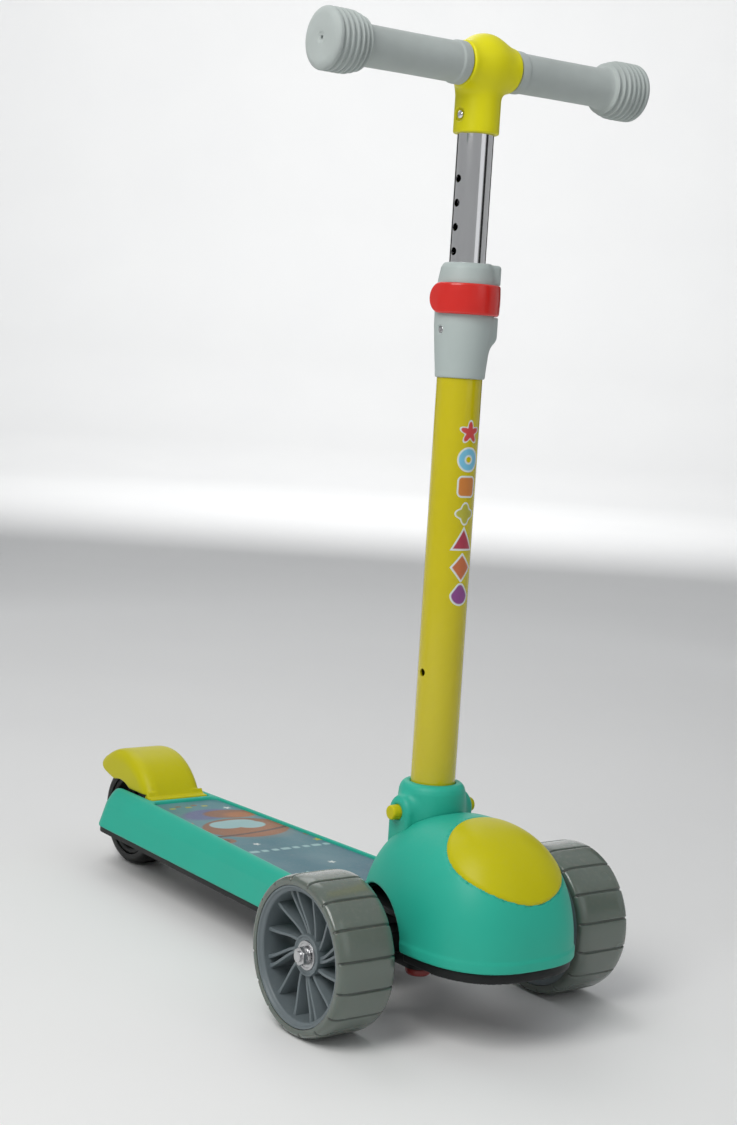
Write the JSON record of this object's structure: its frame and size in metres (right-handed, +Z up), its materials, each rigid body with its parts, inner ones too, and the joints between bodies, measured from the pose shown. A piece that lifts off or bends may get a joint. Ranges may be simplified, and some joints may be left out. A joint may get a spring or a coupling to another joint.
{
  "type": "kick scooter",
  "caption": "Child's three-wheel lean-to-steer kick scooter with a height-adjustable T handlebar, quick-release stem and rear foot brake.",
  "frame": {"origin": "on the floor, under the middle of the scooter's overall box", "axes": "+X forward along the deck, +Y to the rider's left along both axles, +Z up"},
  "size_m": [0.6274, 0.3, 0.744],
  "materials": {
    "deck_plastic": "satin moulded",
    "printed_mat": "printed satin film",
    "black_plastic": "satin moulded",
    "yellow_plastic": "satin moulded",
    "clamp_plastic": "satin moulded",
    "red_plastic": "gloss moulded",
    "rim_plastic": "satin moulded",
    "steel_zinc": "zinc plated",
    "tube_chrome": "polished",
    "tube_paint": "gloss paint",
    "spring_steel": "bright",
    "nylon_washer": "natural",
    "grip_rubber": "matt moulded",
    "tyre_clear": "smoky translucent urethane",
    "tyre_black": "satin urethane",
    "bumper_urethane": "satin urethane",
    "pad_rubber": "matt"
  },
  "bodies": {
    "deck": {"deck_shell": "deck_plastic", "deck_mat": "printed_mat", "deck_bottom": "black_plastic", "deck_screws": "steel_zinc", "frame_bolts": "steel_zinc", "nose_base": "black_plastic", "nose_cover": "deck_plastic", "nose_badge": "yellow_plastic", "nose_screws": "steel_zinc", "kingpin_bolt": "steel_zinc", "kingpin_nut": "steel_zinc", "kingpin_washers": "nylon_washer", "rear_axle_bolt": "steel_zinc", "rear_axle_nut": "steel_zinc", "rear_spacers": "steel_zinc", "brake_pin": "steel_zinc", "brake_spring": "spring_steel", "stem_socket": "deck_plastic", "socket_bolts": "steel_zinc", "stem_tube": "tube_paint", "lock_spring": "spring_steel", "clamp_body": "clamp_plastic", "clamp_screws": "steel_zinc", "clamp_pad": "pad_rubber", "lever_pin": "steel_zinc", "tube_bush": "black_plastic"},
    "truck": {"axle_beam": "black_plastic", "front_axle": "steel_zinc", "axle_spacers": "steel_zinc", "axle_nuts": "steel_zinc", "steering_bumpers": "bumper_urethane"},
    "wheel_front_left": {"front_hub_left": "rim_plastic", "front_tyre_left": "tyre_clear", "front_bearings_left": "steel_zinc", "hub_sleeve_left": "steel_zinc"},
    "wheel_front_right": {"front_hub_right": "rim_plastic", "front_tyre_right": "tyre_clear", "front_bearings_right": "steel_zinc", "hub_sleeve_right": "steel_zinc"},
    "wheel_rear": {"rear_hub": "black_plastic", "rear_tyre": "tyre_black", "rear_bearings": "steel_zinc", "rear_hub_sleeve": "steel_zinc"},
    "foot_brake": {"fender_brake": "yellow_plastic", "brake_pad": "pad_rubber"},
    "handlebar": {"inner_tube": "tube_chrome", "t_joint": "yellow_plastic", "t_rivets": "tube_chrome", "crossbar": "steel_zinc", "grip_left": "grip_rubber", "grip_right": "grip_rubber"},
    "lever": {"clamp_lever": "red_plastic"},
    "release_left": {"button_left": "yellow_plastic", "catch_pin_left": "steel_zinc"},
    "release_right": {"button_right": "yellow_plastic", "catch_pin_right": "steel_zinc"}
  },
  "joints": [
    {"name": "lean_steer", "type": "hinge", "parent": "deck", "child": "truck", "pos_m": [0.20375, 0, 0.06], "axis": [0.5, 0, 0.866], "range_deg": [-12, 12], "stiffness_Nm_per_rad": 30, "deforming": ["steering_bumpers"]},
    {"name": "front_left_spin", "type": "hinge", "parent": "truck", "child": "wheel_front_left", "pos_m": [0.20375, 0.1145, 0.06], "axis": [0, 1, 0], "continuous": true},
    {"name": "front_right_spin", "type": "hinge", "parent": "truck", "child": "wheel_front_right", "pos_m": [0.20375, -0.1145, 0.06], "axis": [0, 1, 0], "continuous": true},
    {"name": "rear_spin", "type": "hinge", "parent": "deck", "child": "wheel_rear", "pos_m": [-0.26625, 0, 0.0475], "axis": [0, 1, 0], "continuous": true},
    {"name": "brake_press", "type": "hinge", "parent": "deck", "child": "foot_brake", "pos_m": [-0.20775, 0, 0.068], "axis": [0, -1, 0], "range_deg": [0, 2.8], "stiffness_Nm_per_rad": 8, "deforming": ["brake_spring"]},
    {"name": "bar_height", "type": "slide", "parent": "deck", "child": "handlebar", "axis": [0, 0, 1], "range_m": [-0.09, 0.06]},
    {"name": "lever_swing", "type": "hinge", "parent": "deck", "child": "lever", "pos_m": [0.17725, 0.0235, 0.5467], "axis": [0, 0, 1], "range_deg": [0, 100]},
    {"name": "release_left_press", "type": "slide", "parent": "deck", "child": "release_left", "axis": [0, -1, 0], "range_m": [0, 0.0042], "stiffness_N_per_m": 900, "deforming": ["lock_spring"]},
    {"name": "release_right_press", "type": "slide", "parent": "deck", "child": "release_right", "axis": [0, 1, 0], "range_m": [0, 0.0042], "stiffness_N_per_m": 900, "deforming": ["lock_spring"]}
  ]
}
